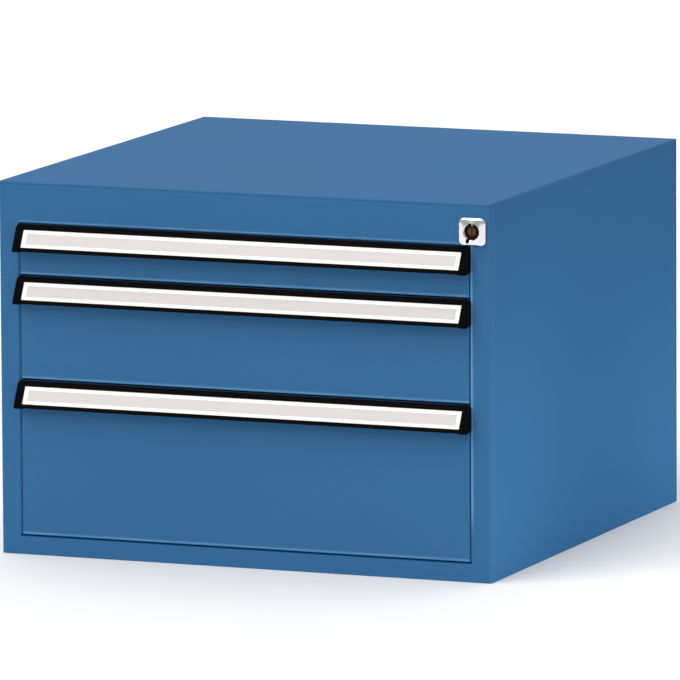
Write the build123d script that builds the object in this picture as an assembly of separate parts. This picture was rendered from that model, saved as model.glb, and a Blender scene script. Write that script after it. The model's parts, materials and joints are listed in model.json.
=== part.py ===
from build123d import *
import os
from math import cos, radians, sin

# Steel cabinet with three drawers on telescopic slides and one key lock for all of them.
# Millimetres. +Z is up, the front faces -Y, and the origin is the centre of the base.

# Housing
WIDTH = 762.0
DEPTH = 762.0
DRAWER_UNIT = 76.2
DRAWER_UNITS = (1, 2, 3)
TOP_RAIL = 60.0
BOTTOM_RAIL = 28.0
POST = 31.0
SHEET = 1.5
CORNER_BEND = 4.0
FRAME_RETURN = 20.0
FRAME_LIP = 10.0
FRAME_BEVEL = 1.6
SEAM_BEVEL = 0.8
LID_EDGE = 3.0
LID_BEND = 2.4
REAR_FLANGE = 20.0
PANEL_BEND = 2.5
PAN_LIP = 24.0
ANCHOR_RADIUS = 5.5
ANCHOR_INSET_X = 81.0
ANCHOR_INSET_Y = 110.0

# Slotted uprights
UPRIGHT_WIDTH = 40.0
UPRIGHT_FRONT = 46.0
UPRIGHT_REAR = 40.0
SLOTS_PER_UNIT = 3
SLOT_WIDTH = 4.0
SLOT_HEIGHT = 14.0

# Telescopic slides
SLIDE_INSET = 1.0
SLIDE_THICKNESS = 16.0
SLIDE_HEIGHT = 38.0
SLIDE_START = 48.0
SLIDE_BEHIND = 34.0
RAIL_SHEET = 1.6
RAIL_BEND = 2.2
RAIL_TIP = 5.0
RUN_GAP = 0.3
HOOK_HEIGHT = 12.0
HOOK_DROP = 4.0
HOOK_THICKNESS = 2.4

# Drawers
DRAWER_SHEET = 1.2
DRAWER_GAP = 2.5
FRONT_SIDE_GAP = 2.0
FRONT_PAN = 14.0
FRONT_BEVEL = 0.9
TRAY_BELOW = 8.0
TRAY_ABOVE = 14.0
TRAY_BEND = 2.0
TRAY_HEM = 8.0
TRAY_BEHIND = 32.0
SLIDE_ABOVE_FLOOR = 1.0

# Handles
HANDLE_LEAN = radians(28.0)
HANDLE_TOP = 2.0
UPPER_LIP = 8.5
LABEL_HEIGHT = 28.0
LOWER_LIP = 5.5
LABEL_RECESS = 1.6
HANDLE_WALL = 1.8
HANDLE_FLANGE = 18.0
HANDLE_ROUND = 1.2
CAP_LENGTH = 8.0
CAP_OVERHANG = 4.0
CAP_PROUD = 1.0
CAP_CLEARANCE = 0.6
CAP_ROUND = 1.6
CAP_BEVEL = 0.8
LABEL_PAPER = 0.4
LABEL_FILM = 0.9
LABEL_SLACK = 0.3
RIVET_RADIUS = 2.0
RIVET_HEAD = 3.0
RIVET_HEAD_THICKNESS = 1.2
RIVET_TAIL_LENGTH = 3.0
RIVET_DROP = 13.5
RIVET_CLEARANCE = 0.1
RIVET_COUNT = 3
RIVET_SIDES = 8
RIVET_FROM_END = 60.0

# Lock
LOCK_FROM_SIDE = 26.0
LOCK_FROM_TOP = 39.5
PLATE_SIZE = 41.0
PLATE_CORNER = 8.0
PLATE_PROUD = 8.0
PLATE_BEVEL = 2.5
PLATE_FLOOR = 0.8
RECESS_RADIUS = 12.0
INDEX_WIDTH = 4.4
INDEX_END = 18.5
INDEX_DEPTH = 4.5
INDEX_ANGLE = 232.0
BARREL_RADIUS = 9.5
BARREL_BACK = 22.0
BARREL_HEAD = 2.0
LOCK_FIT = 0.1
PLUG_RADIUS = 6.5
PLUG_HEAD_RADIUS = 7.4
PLUG_HEAD = 1.0
PLUG_SQUARE = 7.0
KEYWAY_WIDTH = 1.8
KEYWAY_HEIGHT = 9.0
KEYWAY_DEPTH = 6.0
NUT_ACROSS_FLATS = 26.0
NUT_THICKNESS = 5.0
CAM_THICKNESS = 3.0
CAM_HUB = 8.0
CAM_TIP = 4.6
CRANK = 6.4
PIN_RADIUS = 2.0
PIN_PAST = 1.5
CAM_SCREW_RADIUS = 3.8
CAM_SCREW_HEAD = 2.4
BAR_FRONT = 30.0
BAR_THICKNESS = 3.0
BAR_WIDTH = 18.0
BAR_FROM_SIDE = 10.0
BAR_TOP = 13.0
BAR_TAIL = 15.0
BAR_SLOT_PLAY = 0.4
FINGER_REACH = 12.0
FINGER_HEIGHT = 6.0
FINGER_BELOW_TOP = 9.0
CATCH_REACH = 12.0
CATCH_SHEET = 2.0
CATCH_FOOT = 9.0
CATCH_HEIGHT = 8.0
CATCH_CLEARANCE = 3.0
CATCH_SETBACK = 1.5
GUIDE_SHEET = 2.0
GUIDE_GAP = 0.5
GUIDE_REACH = 19.0
GUIDE_HEIGHT = 16.0
GUIDE_BEND = 2.4
GUIDE_INSET = 40.0

# Values worked out from the sizes above
HEIGHT = TOP_RAIL + sum(DRAWER_UNITS) * DRAWER_UNIT + BOTTOM_RAIL
FRAME_TOP = HEIGHT - LID_EDGE
FRONT_Y = -DEPTH / 2
BACK_Y = DEPTH / 2
OPENING_HALF = WIDTH / 2 - POST
OPENING_TOP = HEIGHT - TOP_RAIL
SIDE_INNER = WIDTH / 2 - SHEET
RAIL_X = OPENING_HALF + SLIDE_INSET
SLIDE_LENGTH = DEPTH - SLIDE_START - SLIDE_BEHIND
TRAY_HALF = RAIL_X - SLIDE_THICKNESS
TRAY_DEPTH = DEPTH - FRONT_PAN - TRAY_BEHIND
FRONT_HALF = OPENING_HALF - FRONT_SIDE_GAP
HANDLE_HALF = FRONT_HALF - CAP_LENGTH
FACE_LENGTH = UPPER_LIP + LABEL_HEIGHT + LOWER_LIP
PLATE_DEPTH = LABEL_RECESS + HANDLE_WALL
LOCK_X = WIDTH / 2 - LOCK_FROM_SIDE
LOCK_Z = HEIGHT - LOCK_FROM_TOP
BAR_OUTER = WIDTH / 2 - BAR_FROM_SIDE
BAR_INNER = BAR_OUTER - BAR_WIDTH
PIN_RISE = CRANK * sin(radians(45))
CATCH_FRONT = BAR_FRONT + BAR_THICKNESS + CATCH_SETBACK
SLOT_PITCH = DRAWER_UNIT / SLOTS_PER_UNIT


def drawer_span(number):
    """Lowest and highest Z of the space that a drawer takes up, counted from the top drawer."""
    top = OPENING_TOP - sum(DRAWER_UNITS[: number - 1]) * DRAWER_UNIT
    return top - DRAWER_UNITS[number - 1] * DRAWER_UNIT, top


def slide_z(number):
    """Height of the middle of a drawer's slides."""
    return drawer_span(number)[0] + TRAY_BELOW + SLIDE_ABOVE_FLOOR + SLIDE_HEIGHT / 2


def behind(distance):
    """Y of a point this far behind the front of the cabinet."""
    return FRONT_Y + distance


def block(x_low, x_high, y_low, y_high, z_low, z_high):
    size = Box(x_high - x_low, y_high - y_low, z_high - z_low)
    return Pos((x_low + x_high) / 2, (y_low + y_high) / 2, (z_low + z_high) / 2) * size


def rod(radius, x, z, y_low, y_high):
    """Cylinder along Y."""
    return Pos(x, (y_low + y_high) / 2, z) * Rot(X=90) * Cylinder(radius, y_high - y_low)


def stud(radius, x, z, y_low, y_high):
    """Prism along Y with a few flat sides, this far from its axis to each side."""
    outline = RegularPolygon(radius, RIVET_SIDES, major_radius=False)
    return Pos(x, y_low, z) * extrude(Plane.XZ * outline, y_high - y_low, dir=(0, 1, 0))


def towards(start, end, distance):
    """Point this far from one point on the way to another."""
    start, end = Vector(*start), Vector(*end)
    return start + (end - start).normalized() * distance


def folded(points, sheet, bend):
    """Section of a folded sheet with bevelled bends, which lies to the left of its outer outline."""
    outer = [Vector(*points[0])]
    for before, corner, after in zip(points, points[1:], points[2:]):
        outer += [towards(corner, before, bend), towards(corner, after, bend)]
    outer.append(Vector(*points[-1]))
    outline = Polyline(*outer)
    return make_face(outline.offset_2d(sheet, kind=Kind.INTERSECTION, side=Side.LEFT))


def mirrored(part):
    return mirror(part, about=Plane.YZ)


def upright_edges_in_front(part):
    return part.edges().filter_by(Axis.Z).group_by(Axis.Y)[0]


def make_front_frame():
    outer = block(-WIDTH / 2, WIDTH / 2, FRONT_Y, behind(FRAME_RETURN), 0, FRAME_TOP)
    outer = fillet(upright_edges_in_front(outer), CORNER_BEND)
    hollow = block(-SIDE_INNER, SIDE_INNER, behind(SHEET), behind(FRAME_RETURN), SHEET, FRAME_TOP - SHEET)
    hollow = fillet(upright_edges_in_front(hollow), CORNER_BEND - SHEET)
    lip = block(
        -OPENING_HALF - SHEET, OPENING_HALF + SHEET, FRONT_Y, behind(FRAME_LIP),
        BOTTOM_RAIL - SHEET, OPENING_TOP + SHEET,
    )
    opening = block(
        -OPENING_HALF, OPENING_HALF, FRONT_Y, behind(FRAME_RETURN), BOTTOM_RAIL, OPENING_TOP
    )
    frame = outer - hollow + lip - opening
    face_edges = frame.edges().filter_by_position(Axis.Y, FRONT_Y, FRONT_Y)
    top_edge = face_edges.group_by(Axis.Z)[-1]
    frame = chamfer(top_edge, SEAM_BEVEL)
    face_edges = frame.edges().filter_by_position(Axis.Y, FRONT_Y, FRONT_Y)
    rim = face_edges.filter_by_position(Axis.Z, BOTTOM_RAIL, OPENING_TOP)
    rim = rim.filter_by_position(Axis.X, -OPENING_HALF, OPENING_HALF)
    frame = chamfer(rim, FRAME_BEVEL)
    lock_hole = rod(BARREL_RADIUS + LOCK_FIT, LOCK_X, LOCK_Z, FRONT_Y, behind(SHEET))
    return frame - lock_hole


def make_top_panel():
    pan = block(-WIDTH / 2, WIDTH / 2, FRONT_Y, BACK_Y, FRAME_TOP, HEIGHT)
    pan = fillet(upright_edges_in_front(pan), CORNER_BEND)
    pan = fillet(pan.edges().group_by(Axis.Z)[-1], LID_BEND)
    hollow = block(-SIDE_INNER, SIDE_INNER, behind(SHEET), BACK_Y - SHEET, FRAME_TOP, HEIGHT - SHEET)
    hollow = fillet(upright_edges_in_front(hollow), CORNER_BEND - SHEET)
    return pan - hollow


def make_side_panel():
    section = folded(
        [
            (WIDTH / 2, behind(FRAME_RETURN)),
            (WIDTH / 2, BACK_Y - SHEET),
            (WIDTH / 2 - REAR_FLANGE, BACK_Y - SHEET),
        ],
        SHEET,
        PANEL_BEND,
    )
    return extrude(section, FRAME_TOP)


def make_back_panel():
    panel = block(-WIDTH / 2, WIDTH / 2, BACK_Y - SHEET, BACK_Y, 0, FRAME_TOP)
    return chamfer(panel.edges().filter_by(Axis.Z).group_by(Axis.Y)[-1], SEAM_BEVEL)


def make_bottom_panel():
    rear = BACK_Y - SHEET - 1.5 * PANEL_BEND
    section = folded(
        [
            (behind(FRAME_RETURN), PAN_LIP),
            (behind(FRAME_RETURN), 0),
            (rear, 0),
            (rear, PAN_LIP),
        ],
        SHEET,
        PANEL_BEND,
    )
    pan = Pos(X=-SIDE_INNER) * extrude(Plane.YZ * section, 2 * SIDE_INNER)
    spacing_x = WIDTH - 2 * ANCHOR_INSET_X
    spacing_y = DEPTH - 2 * ANCHOR_INSET_Y
    for place in GridLocations(spacing_x, spacing_y, 2, 2):
        pan -= place * Cylinder(ANCHOR_RADIUS, 4 * SHEET)
    return pan


def make_upright(front):
    """Channel on the right side, open towards the side panel, with a column of slots in its web."""
    rear = front + UPRIGHT_WIDTH
    section = folded(
        [(SIDE_INNER, rear), (RAIL_X, rear), (RAIL_X, front), (SIDE_INNER, front)],
        SHEET,
        PANEL_BEND,
    )
    upright = Pos(Z=SHEET) * extrude(section, HEIGHT - 2 * SHEET)
    lowest = slide_z(len(DRAWER_UNITS))
    slots = sum(DRAWER_UNITS) * SLOTS_PER_UNIT - 1
    middle = front + UPRIGHT_WIDTH / 2
    for step in range(slots):
        z = lowest + step * SLOT_PITCH
        upright -= block(
            RAIL_X, RAIL_X + SHEET, middle - SLOT_WIDTH / 2, middle + SLOT_WIDTH / 2,
            z - SLOT_HEIGHT / 2, z + SLOT_HEIGHT / 2,
        )
    return upright


def make_rail(web, tip, height, z):
    """Right-hand slide member: a C section whose web and flange tips lie this far in from RAIL_X."""
    points = [
        (RAIL_X - tip, z - height / 2),
        (RAIL_X - web, z - height / 2),
        (RAIL_X - web, z + height / 2),
        (RAIL_X - tip, z + height / 2),
    ]
    if web > tip:
        points.reverse()
    section = folded(points, RAIL_SHEET, RAIL_BEND)
    return Pos(Y=behind(SLIDE_START)) * extrude(Plane.XZ * section, SLIDE_LENGTH, dir=(0, 1, 0))


def make_hook(upright_front, z):
    """Tab on the back of a cabinet rail that drops into a slot of an upright."""
    middle = upright_front + UPRIGHT_WIDTH / 2
    y_low = middle - HOOK_THICKNESS / 2
    y_high = middle + HOOK_THICKNESS / 2
    seat = z - SLOT_HEIGHT / 2
    inner = RAIL_X + SHEET + RUN_GAP
    profile = Polyline(
        (RAIL_X, seat),
        (inner, seat),
        (inner, seat - HOOK_DROP),
        (inner + HOOK_THICKNESS, seat - HOOK_DROP),
        (inner + HOOK_THICKNESS, seat - HOOK_DROP + HOOK_HEIGHT),
        (RAIL_X, seat - HOOK_DROP + HOOK_HEIGHT),
        close=True,
    )
    return Pos(Y=y_low) * extrude(Plane.XZ * make_face(profile), y_high - y_low, dir=(0, 1, 0))


def make_slide(number):
    """Cabinet, middle and drawer members of the right-hand slide, nested with a running gap."""
    z = slide_z(number)
    step = RAIL_SHEET + RUN_GAP
    reach = SLIDE_THICKNESS - RAIL_TIP
    cabinet = make_rail(0, reach, SLIDE_HEIGHT, z)
    for front in UPRIGHTS.values():
        cabinet += make_hook(front, z)
    middle = make_rail(step, reach + step, SLIDE_HEIGHT - 2 * step, z)
    drawer = make_rail(SLIDE_THICKNESS, RAIL_TIP, SLIDE_HEIGHT - 4 * step, z)
    return cabinet, middle, drawer


def make_tray(number):
    low, high = drawer_span(number)
    bottom = low + TRAY_BELOW
    rim = high - TRAY_ABOVE
    front = behind(FRONT_PAN)
    rear = front + TRAY_DEPTH
    tray = block(-TRAY_HALF, TRAY_HALF, front, rear, bottom, rim)
    wall = DRAWER_SHEET
    tray = chamfer(tray.edges().filter_by(Axis.Z), TRAY_BEND)
    tray = chamfer(tray.edges().group_by(Axis.Z)[0], wall)
    inside = block(
        -TRAY_HALF + wall, TRAY_HALF - wall, front + wall, rear - wall, bottom + wall, rim - TRAY_HEM
    )
    inside = chamfer(inside.edges().filter_by(Axis.Z), TRAY_BEND - wall)
    hem = 2 * wall
    mouth = block(-TRAY_HALF + hem, TRAY_HALF - hem, front + hem, rear - hem, rim - TRAY_HEM, rim)
    return tray - inside - mouth


def rivet_places():
    """X of each rivet that holds a handle, evenly spaced between the outer two."""
    outer = HANDLE_HALF - RIVET_FROM_END
    return [outer * (2 * step / (RIVET_COUNT - 1) - 1) for step in range(RIVET_COUNT)]


def make_front(number):
    low, high = drawer_span(number)
    bottom = low + DRAWER_GAP / 2
    top = high - DRAWER_GAP / 2
    panel = block(-FRONT_HALF, FRONT_HALF, FRONT_Y, behind(FRONT_PAN), bottom, top)
    panel = chamfer(panel.edges().group_by(Axis.Y)[0], FRONT_BEVEL)
    wall = DRAWER_SHEET
    panel -= block(
        -FRONT_HALF + wall, FRONT_HALF - wall, behind(wall), behind(FRONT_PAN), bottom + wall, top - wall
    )
    for x in rivet_places():
        panel -= stud(RIVET_RADIUS + RIVET_CLEARANCE, x, top - RIVET_DROP, FRONT_Y, behind(wall))
    return panel


def on_face(number, down, out):
    """Point (Y, Z) this far down the sloping face of a handle and this far out from it."""
    top = drawer_span(number)[1] - DRAWER_GAP / 2
    ahead = HANDLE_TOP + down * sin(HANDLE_LEAN) + out * cos(HANDLE_LEAN)
    drop = down * cos(HANDLE_LEAN) - out * sin(HANDLE_LEAN)
    return behind(-ahead), top - drop


def along_x(section, x_low, x_high):
    return Pos(X=x_low) * extrude(Plane.YZ * section, x_high - x_low)


def make_handle(number):
    top = drawer_span(number)[1] - DRAWER_GAP / 2
    flange_y = behind(-HANDLE_TOP)
    crook = (PLATE_DEPTH * cos(HANDLE_LEAN)) / sin(HANDLE_LEAN)
    recess_end = UPPER_LIP + LABEL_HEIGHT
    outline = Polyline(
        (FRONT_Y, top),
        (flange_y, top),
        on_face(number, UPPER_LIP, 0),
        on_face(number, UPPER_LIP, -LABEL_RECESS),
        on_face(number, recess_end, -LABEL_RECESS),
        on_face(number, recess_end, 0),
        on_face(number, FACE_LENGTH, 0),
        on_face(number, FACE_LENGTH, -PLATE_DEPTH),
        on_face(number, crook, -PLATE_DEPTH),
        (flange_y, top - HANDLE_FLANGE),
        (FRONT_Y, top - HANDLE_FLANGE),
        close=True,
    )
    section = make_face(outline)
    tip_corners = section.vertices().group_by(Axis.Y)[0] + section.vertices().sort_by(Axis.X)[:1]
    section = fillet(tip_corners, HANDLE_ROUND)
    handle = along_x(section, -HANDLE_HALF, HANDLE_HALF)
    for x in rivet_places():
        handle -= stud(RIVET_RADIUS + RIVET_CLEARANCE, x, top - RIVET_DROP, flange_y, FRONT_Y)
    return handle


def make_end_cap(number):
    """Moulded cap on the right end of a handle, a little proud of it and reaching over the post."""
    back = behind(-CAP_CLEARANCE)
    top = on_face(number, 0, CAP_PROUD)
    outline = Polyline(
        (back, top[1]),
        top,
        on_face(number, FACE_LENGTH + CAP_PROUD, CAP_PROUD),
        on_face(number, FACE_LENGTH + CAP_PROUD, -PLATE_DEPTH),
        (back, on_face(number, FACE_LENGTH, 0)[1]),
        close=True,
    )
    section = make_face(outline)
    section = chamfer(section.vertices().sort_by(Axis.Y)[:2], CAP_ROUND)
    cap = along_x(section, HANDLE_HALF, FRONT_HALF + CAP_OVERHANG)
    outer_face = cap.faces().sort_by(Axis.X)[-1]
    return chamfer(outer_face.edges(), CAP_BEVEL)


def make_label_layer(number, inner, outer):
    """Strip in the recess of a handle, between two depths below the lips."""
    upper = UPPER_LIP + LABEL_SLACK
    lower = UPPER_LIP + LABEL_HEIGHT - LABEL_SLACK
    outline = Polyline(
        on_face(number, upper, outer),
        on_face(number, lower, outer),
        on_face(number, lower, inner),
        on_face(number, upper, inner),
        close=True,
    )
    return along_x(make_face(outline), -HANDLE_HALF + LABEL_SLACK, HANDLE_HALF - LABEL_SLACK)


def make_handle_rivets(number):
    z = drawer_span(number)[1] - DRAWER_GAP / 2 - RIVET_DROP
    head_seat = behind(-HANDLE_TOP)
    tail_seat = behind(DRAWER_SHEET)
    rivets = []
    for x in rivet_places():
        rivet = stud(RIVET_RADIUS, x, z, head_seat, tail_seat)
        rivet += stud(RIVET_HEAD, x, z, head_seat - RIVET_HEAD_THICKNESS, head_seat)
        rivet += stud(RIVET_HEAD, x, z, tail_seat, tail_seat + RIVET_TAIL_LENGTH)
        rivets.append(rivet)
    return Compound(children=rivets)


def finger_z(number):
    """Lower edge of a drawer's locking finger with the lock open."""
    return drawer_span(number)[1] - FINGER_BELOW_TOP - FINGER_HEIGHT


def make_catch(number):
    """Angle on the right wall of a tray, behind the path of the lock bar's finger."""
    section = folded(
        [
            (TRAY_HALF, behind(CATCH_FRONT + CATCH_FOOT)),
            (TRAY_HALF, behind(CATCH_FRONT)),
            (TRAY_HALF + CATCH_REACH, behind(CATCH_FRONT)),
        ],
        CATCH_SHEET,
        CATCH_SHEET,
    )
    low = finger_z(number) - CATCH_CLEARANCE - CATCH_HEIGHT
    return Pos(Z=low) * extrude(section, CATCH_HEIGHT)


def make_escutcheon():
    square = RectangleRounded(PLATE_SIZE, PLATE_SIZE, PLATE_CORNER)
    plate = extrude(Plane.XZ * square, PLATE_PROUD)
    plate = chamfer(plate.faces().sort_by(Axis.Y)[0].edges(), PLATE_BEVEL)
    plate -= rod(RECESS_RADIUS, 0, 0, -PLATE_PROUD, -PLATE_FLOOR)
    plate -= rod(BARREL_RADIUS + LOCK_FIT, 0, 0, -PLATE_FLOOR, 0)
    mark = block(0, INDEX_END, -PLATE_PROUD, INDEX_DEPTH - PLATE_PROUD, -INDEX_WIDTH / 2, INDEX_WIDTH / 2)
    plate -= Rot(Y=-INDEX_ANGLE) * mark
    return Pos(LOCK_X, FRONT_Y, LOCK_Z) * plate


def make_barrel():
    seat = behind(-PLATE_FLOOR)
    front = seat - BARREL_HEAD
    barrel = rod(BARREL_RADIUS, LOCK_X, LOCK_Z, seat, behind(BARREL_BACK))
    barrel += rod(RECESS_RADIUS - LOCK_FIT, LOCK_X, LOCK_Z, front, seat)
    return barrel - rod(PLUG_RADIUS + LOCK_FIT, LOCK_X, LOCK_Z, front, behind(BARREL_BACK))


def make_nut():
    outline = RegularPolygon(NUT_ACROSS_FLATS / 2, 6, major_radius=False)
    outline -= Circle(BARREL_RADIUS + LOCK_FIT)
    nut = extrude(Plane.XZ * outline, NUT_THICKNESS, dir=(0, 1, 0))
    return Pos(LOCK_X, behind(SHEET), LOCK_Z) * nut


def make_plug():
    head_seat = behind(-PLATE_FLOOR - BARREL_HEAD - LOCK_FIT)
    shoulder = behind(BARREL_BACK + LOCK_FIT)
    front = head_seat - PLUG_HEAD
    plug = rod(PLUG_RADIUS, LOCK_X, LOCK_Z, head_seat, shoulder)
    plug += rod(PLUG_HEAD_RADIUS, LOCK_X, LOCK_Z, front, head_seat)
    plug += block(
        LOCK_X - PLUG_SQUARE / 2, LOCK_X + PLUG_SQUARE / 2, shoulder, shoulder + CAM_THICKNESS,
        LOCK_Z - PLUG_SQUARE / 2, LOCK_Z + PLUG_SQUARE / 2,
    )
    return plug - block(
        LOCK_X - KEYWAY_WIDTH / 2, LOCK_X + KEYWAY_WIDTH / 2, front, front + KEYWAY_DEPTH,
        LOCK_Z - KEYWAY_HEIGHT / 2, LOCK_Z + KEYWAY_HEIGHT / 2,
    )


def make_cam():
    """Crank on the back of the plug. At rest its pin stands at 45 degrees, up and outwards."""
    shoulder = behind(BARREL_BACK + LOCK_FIT)
    pin = Vector(PIN_RISE, PIN_RISE)
    outline = make_hull(
        (Circle(CAM_HUB).edges()) + (Pos(pin) * Circle(CAM_TIP)).edges()
    )
    outline -= Rectangle(PLUG_SQUARE, PLUG_SQUARE)
    cam = extrude(Plane.XZ * outline, CAM_THICKNESS, dir=(0, 1, 0))
    cam = Pos(LOCK_X, shoulder, LOCK_Z) * cam
    cam += rod(
        PIN_RADIUS, LOCK_X + PIN_RISE, LOCK_Z + PIN_RISE, shoulder + CAM_THICKNESS,
        behind(BAR_FRONT + BAR_THICKNESS + PIN_PAST),
    )
    return cam


def make_cam_screw():
    seat = behind(BARREL_BACK + LOCK_FIT + CAM_THICKNESS)
    return rod(CAM_SCREW_RADIUS, LOCK_X, LOCK_Z, seat, seat + CAM_SCREW_HEAD)


def make_lock_bar():
    """Flat bar behind the right post, with a cross slot for the crank pin and a finger per drawer."""
    last = len(DRAWER_UNITS)
    bottom = finger_z(last) - BAR_TAIL
    top = LOCK_Z + BAR_TOP
    bar = Pos((BAR_INNER + BAR_OUTER) / 2, (bottom + top) / 2) * Rectangle(BAR_WIDTH, top - bottom)
    for number in range(1, last + 1):
        finger = Rectangle(FINGER_REACH, FINGER_HEIGHT)
        bar += Pos(BAR_INNER - FINGER_REACH / 2, finger_z(number) + FINGER_HEIGHT / 2) * finger
    sweep = CRANK - PIN_RISE
    slot_height = 2 * (PIN_RADIUS + BAR_SLOT_PLAY)
    slot = SlotOverall(sweep + 2 * slot_height, slot_height)
    bar -= Pos(LOCK_X + PIN_RISE + sweep / 2, LOCK_Z + PIN_RISE) * slot
    return Pos(Y=behind(BAR_FRONT)) * extrude(Plane.XZ * bar, BAR_THICKNESS, dir=(0, 1, 0))


def make_bar_guide(z):
    front = behind(BAR_FRONT - GUIDE_GAP - GUIDE_SHEET)
    rear = behind(BAR_FRONT + BAR_THICKNESS + GUIDE_GAP + GUIDE_SHEET)
    tip = SIDE_INNER - GUIDE_REACH
    section = folded(
        [(tip, front), (SIDE_INNER, front), (SIDE_INNER, rear), (tip, rear)], GUIDE_SHEET, GUIDE_BEND
    )
    return Pos(Z=z) * extrude(section, GUIDE_HEIGHT)


def make_bar_guides():
    low = finger_z(len(DRAWER_UNITS)) + GUIDE_INSET
    high = finger_z(1) - GUIDE_INSET
    return Compound(children=[make_bar_guide(low), make_bar_guide(high)])


UPRIGHTS = {"front": behind(UPRIGHT_FRONT), "rear": BACK_Y - UPRIGHT_REAR - UPRIGHT_WIDTH}


def make_housing():
    side = make_side_panel()
    parts = {
        "front_frame": make_front_frame(),
        "side_panel_right": side,
        "side_panel_left": mirrored(side),
        "top_panel": make_top_panel(),
        "bottom_panel": make_bottom_panel(),
        "back_panel": make_back_panel(),
    }
    for place, front in UPRIGHTS.items():
        upright = make_upright(front)
        parts[f"upright_{place}_right"] = upright
        parts[f"upright_{place}_left"] = mirrored(upright)
    return parts


def make_lock():
    return {
        "lock_escutcheon": make_escutcheon(),
        "lock_barrel": make_barrel(),
        "lock_nut": make_nut(),
        "lock_plug": make_plug(),
        "lock_cam": make_cam(),
        "lock_cam_screw": make_cam_screw(),
        "lock_bar": make_lock_bar(),
        "lock_bar_guides": make_bar_guides(),
    }


def make_drawer(number):
    cap = make_end_cap(number)
    parts = {
        "tray": make_tray(number),
        "front": make_front(number),
        "handle": make_handle(number),
        "end_caps": Compound(children=[cap, mirrored(cap)]),
        "label": make_label_layer(number, -LABEL_RECESS, -LABEL_RECESS + LABEL_PAPER),
        "label_cover": make_label_layer(
            number, -LABEL_RECESS + LABEL_PAPER, -LABEL_RECESS + LABEL_PAPER + LABEL_FILM
        ),
        "handle_rivets": make_handle_rivets(number),
        "catch": make_catch(number),
    }
    for member, rail in zip(("cabinet", "middle", "drawer"), make_slide(number)):
        parts[f"{member}_rail_right"] = rail
        parts[f"{member}_rail_left"] = mirrored(rail)
    return {f"drawer_{number}_{name}": part for name, part in parts.items()}


def make_cabinet():
    parts = make_housing() | make_lock()
    for number in range(1, len(DRAWER_UNITS) + 1):
        parts |= make_drawer(number)
    return parts


os.makedirs("parts", exist_ok=True)
for name, part in make_cabinet().items():
    export_step(part, f"parts/{name}.step")
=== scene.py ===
import json
from math import cos, hypot, pi, radians, sin

import bmesh
import bpy
from mathutils import Matrix, Vector


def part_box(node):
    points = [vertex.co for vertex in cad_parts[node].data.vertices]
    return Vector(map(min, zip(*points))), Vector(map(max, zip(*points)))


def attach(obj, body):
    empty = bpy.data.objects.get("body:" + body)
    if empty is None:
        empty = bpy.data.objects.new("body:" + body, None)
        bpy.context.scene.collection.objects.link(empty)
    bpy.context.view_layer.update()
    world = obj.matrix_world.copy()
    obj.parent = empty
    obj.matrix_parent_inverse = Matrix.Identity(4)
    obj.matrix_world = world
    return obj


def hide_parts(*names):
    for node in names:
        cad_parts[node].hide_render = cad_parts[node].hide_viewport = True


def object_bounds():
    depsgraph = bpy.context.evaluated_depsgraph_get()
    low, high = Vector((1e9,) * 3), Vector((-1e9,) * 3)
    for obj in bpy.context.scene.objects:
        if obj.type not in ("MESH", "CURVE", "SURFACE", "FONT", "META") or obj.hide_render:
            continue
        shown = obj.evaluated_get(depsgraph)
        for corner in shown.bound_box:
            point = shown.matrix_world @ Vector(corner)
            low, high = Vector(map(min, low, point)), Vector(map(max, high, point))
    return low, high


# Dressed model of a steel three-drawer cabinet, in metres, in the frame of the cabinet.

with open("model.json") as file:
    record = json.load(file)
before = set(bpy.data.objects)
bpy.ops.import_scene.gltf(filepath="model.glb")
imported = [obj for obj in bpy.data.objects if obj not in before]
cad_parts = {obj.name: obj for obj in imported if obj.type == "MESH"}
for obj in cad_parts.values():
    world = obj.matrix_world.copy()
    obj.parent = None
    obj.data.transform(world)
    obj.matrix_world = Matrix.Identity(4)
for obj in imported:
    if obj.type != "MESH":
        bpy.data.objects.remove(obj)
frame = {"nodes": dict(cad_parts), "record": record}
cad_low, cad_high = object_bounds()
nodes = frame["nodes"]
cad_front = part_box("front_frame")[0].y
DRAWERS = (1, 2, 3)

# Modelling: places closer than TOUCH are one place, a face looks along an axis when FACING of
# its normal does, and an edge runs along an axis when PARALLEL of its length does. A bevel of
# NEARLY_HALF a width rounds an end.
TOUCH = 0.0001
FACING = 0.9
PARALLEL = 0.999
NEARLY_HALF = 0.49
SHARP_ANGLE = 35.0

# Camera
IMAGE_PIXELS = 680
FOCAL_PIXELS = 10557
SENSOR_MM = 36.0
CAMERA_PLACE = Vector((5.7786, -14.1934, 2.5978))
CAMERA_AZIMUTH = 22.17
CAMERA_ELEVATION = 8.61
CAMERA_ROLL = -0.34
CAMERA_REACH = 200.0

# Floor, held a little below the foot of the cabinet
FLOOR_SIZE = 80.0
FLOOR_DROP = 0.0004

# Sky: its strength low down and overhead, and where the camera sees it
SKY_LOW, SKY_HIGH = 0.34, 0.70
SKY_SEEN = 0.95

# Far soft lights: azimuth, elevation, strength and spread
FAR_LIGHTS = {
    "key": (-24.0, 50.0, 2.05, 60.0),
    "back": (195.0, 55.0, 0.96, 70.0),
}

# Small lights by the floor: place, size and power. Each shines from its side of the cabinet as
# if from FLOOR_LIGHT_DROP, below the floor, so a little upwards.
FLOOR_LIGHTS = {
    "near_fill": ((0.86, -0.42, 0.03), 0.10, 8.2),
    "far_fill": ((0.80, 0.40, 0.03), 0.10, 5.4),
    "front_fill": ((-0.15, -1.70, 0.04), 0.30, 8.0),
}
FLOOR_LIGHT_DROP = -0.10
FLOOR_LIGHT_CONE = 150.0

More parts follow.
